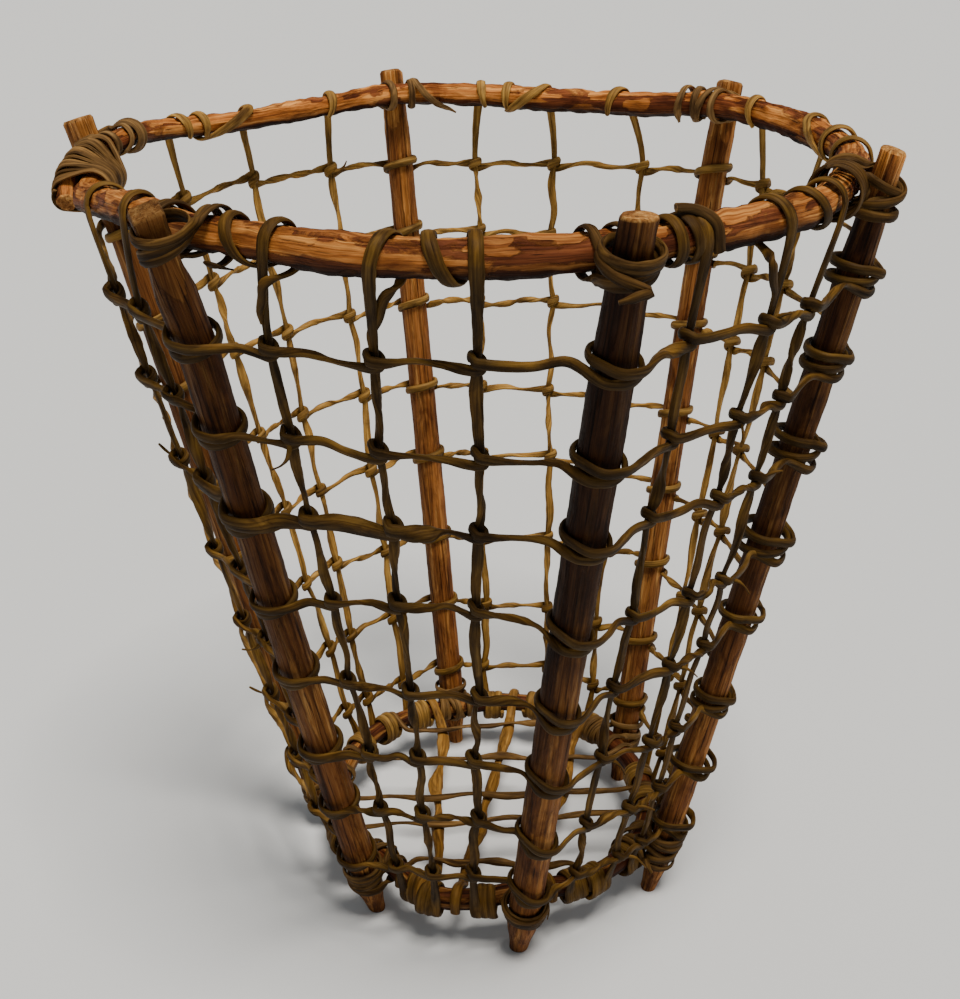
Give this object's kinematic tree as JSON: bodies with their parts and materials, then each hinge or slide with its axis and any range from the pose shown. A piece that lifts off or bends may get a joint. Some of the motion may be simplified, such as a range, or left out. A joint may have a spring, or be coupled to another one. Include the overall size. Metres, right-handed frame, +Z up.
{
  "type": "open netted basket",
  "caption": "Tall open basket that widens upwards: peeled stakes, a bent rim stick and a base hoop, netted with knotted withes.",
  "frame": {"origin": "middle of the whole basket's box, on the surface that its six stakes stand on", "axes": "+Z up; -Y towards the viewer of the picture; +X to that viewer's right"},
  "size_m": [0.4711, 0.5081, 0.5212],
  "materials": {
    "stake_wood": "peeled and hewn, dark streaks, worn to orange",
    "rim_wood": "reddish brown bark, chipped to orange wood",
    "hoop_wood": "reddish brown bark, rubbed",
    "withe": "flattened and slightly twisted, satin bark",
    "floor_withe": "thick ochre withe, satin",
    "binding": "split bark binding, dry and dull"
  },
  "bodies": {
    "root": {"stake_left": "stake_wood", "stake_front_left": "stake_wood", "stake_front": "stake_wood", "stake_right": "stake_wood", "stake_back_right": "stake_wood", "stake_back": "stake_wood", "rim_hoop": "rim_wood", "base_hoop": "hoop_wood", "weft_row_1": "withe", "weft_row_2": "withe", "weft_row_3": "withe", "weft_row_4": "withe", "weft_row_5": "withe", "weft_row_6": "withe", "weft_row_7": "withe", "weft_row_8": "withe", "warp_01": "withe", "warp_02": "withe", "warp_03": "withe", "warp_04": "withe", "warp_05": "withe", "warp_06": "withe", "warp_07": "withe", "warp_08": "withe", "warp_09": "withe", "warp_10": "withe", "warp_11": "withe", "warp_12": "withe", "warp_13": "withe", "warp_14": "withe", "warp_15": "withe", "warp_16": "withe", "warp_17": "withe", "floor_withe_long_1": "floor_withe", "floor_withe_long_2": "floor_withe", "floor_withe_long_3": "floor_withe", "floor_withe_cross_1": "floor_withe", "floor_withe_cross_2": "floor_withe", "floor_withe_cross_3": "floor_withe", "floor_withe_cross_4": "floor_withe", "floor_withe_cross_5": "floor_withe", "rim_lashing_left": "binding", "base_lashing_left": "binding", "rim_lashing_front_left": "binding", "base_lashing_front_left": "binding", "rim_lashing_front": "binding", "base_lashing_front": "binding", "rim_lashing_right": "binding", "base_lashing_right": "binding", "rim_lashing_back_right": "binding", "base_lashing_back_right": "binding", "rim_lashing_back": "binding", "base_lashing_back": "binding", "rim_splice_binding": "binding"}
  },
  "joints": []
}
